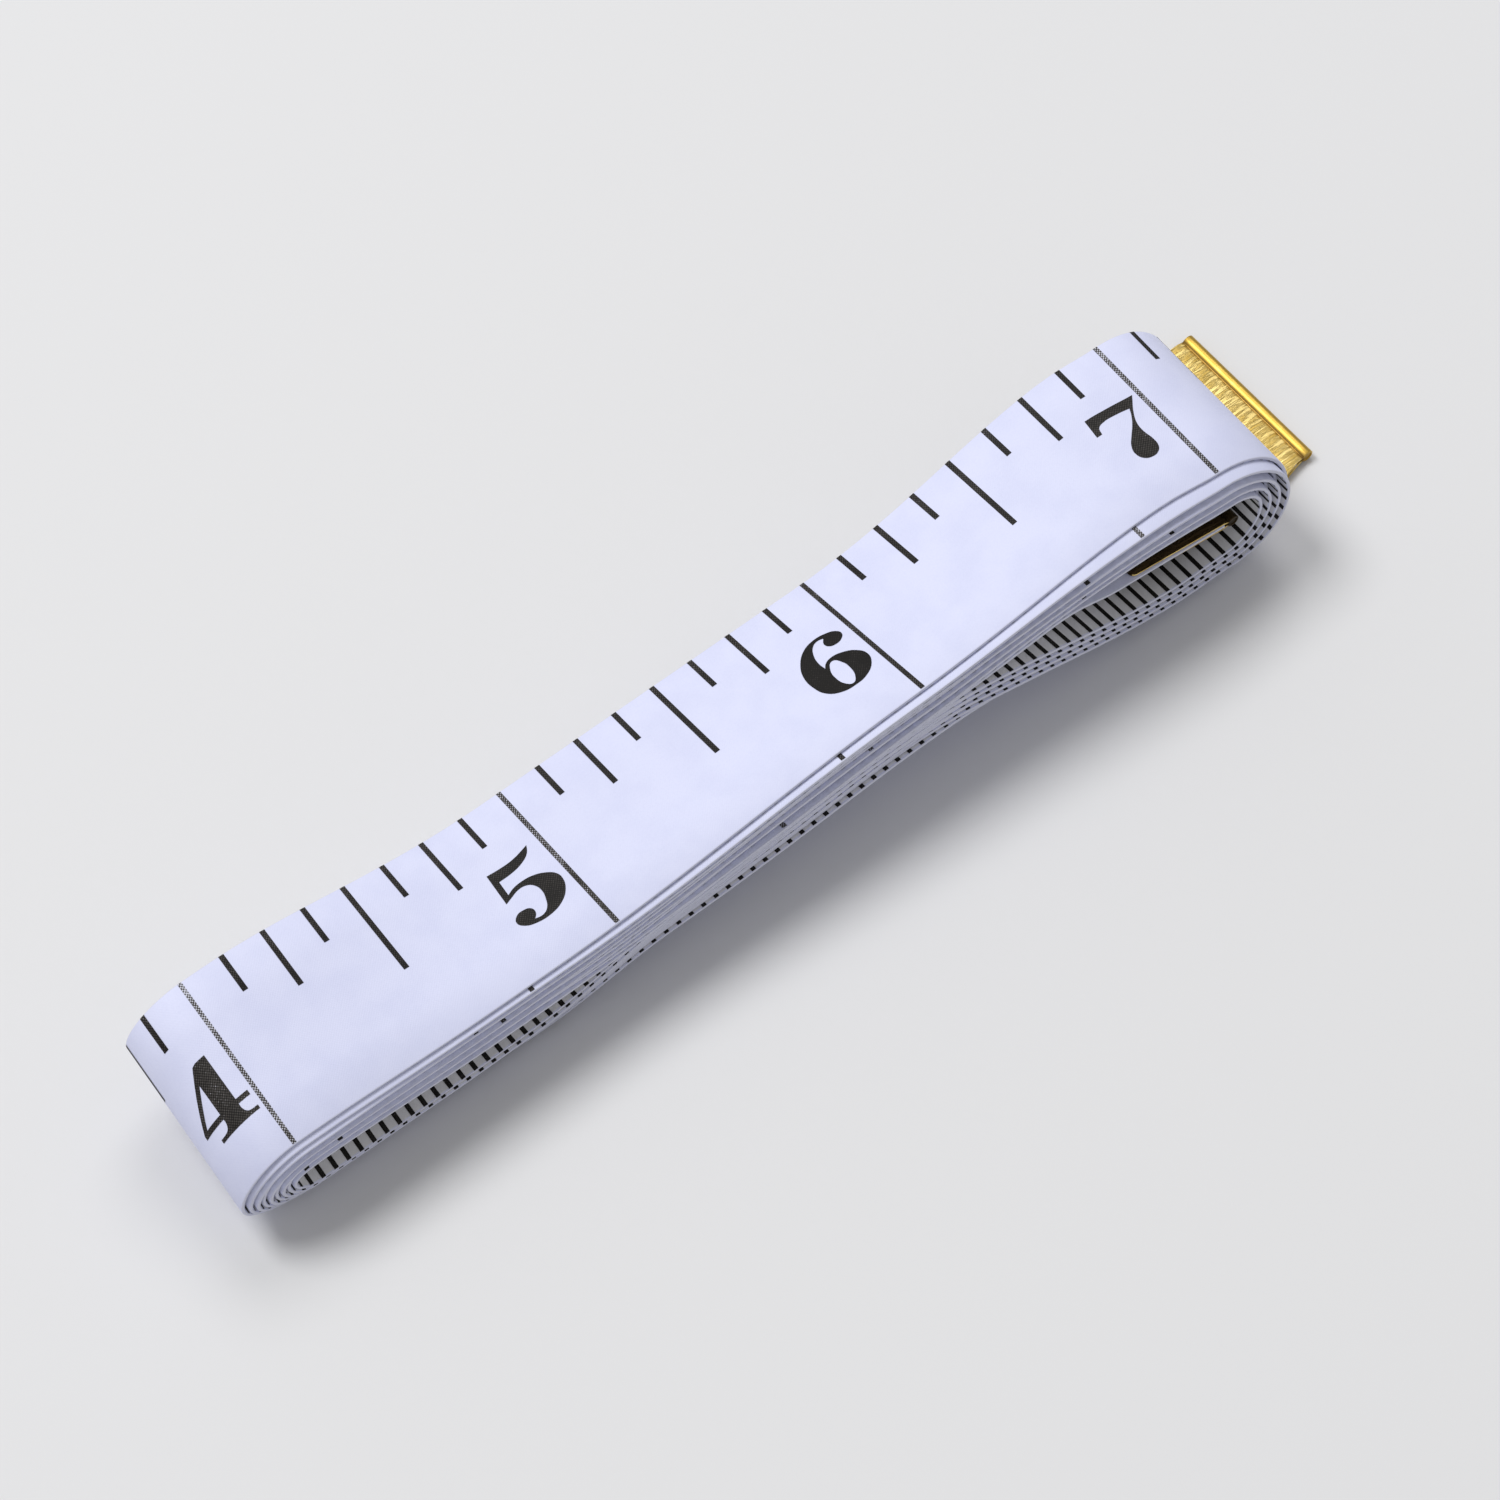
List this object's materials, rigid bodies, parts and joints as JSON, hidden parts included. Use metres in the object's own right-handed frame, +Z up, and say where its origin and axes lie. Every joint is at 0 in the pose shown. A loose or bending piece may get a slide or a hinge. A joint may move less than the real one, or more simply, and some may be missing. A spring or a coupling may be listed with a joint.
{
  "type": "cloth tape measure",
  "caption": "Cloth tape measure wound flat, drawn in at the waist, with an inch scale on its outer face, a metric scale on its inner face and a folded brass tip on each end.",
  "frame": {"origin": "under the middle of the wound tape, on the surface that it lies on", "axes": "+X along the winding towards the outer end's tip, +Y across the tape to its rear edge, +Z up"},
  "size_m": [0.0916, 0.0162, 0.0116],
  "materials": {
    "tape_cloth": "white coated woven cloth with black print",
    "tip_brass": "bright rolled brass"
  },
  "bodies": {
    "outer_run": {"tape_outer_run": "tape_cloth", "outer_end_tip": "tip_brass"},
    "coil": {"tape_coil": "tape_cloth"},
    "inner_end": {"tape_inner_end": "tape_cloth", "inner_end_tip": "tip_brass"}
  },
  "joints": [
    {"name": "coil_roll", "type": "hinge", "parent": "outer_run", "child": "coil", "pos_m": [-0.04605, -0.00042, 0.00507], "axis": [0, -0.995, -0.0995], "range_deg": [0, 180]},
    {"name": "inner_end_flex", "type": "hinge", "parent": "coil", "child": "inner_end", "pos_m": [0.0192, -0.00162, 0.00623], "axis": [0, -1, 0], "range_deg": [-3, 5], "stiffness_Nm_per_rad": 0.006}
  ]
}
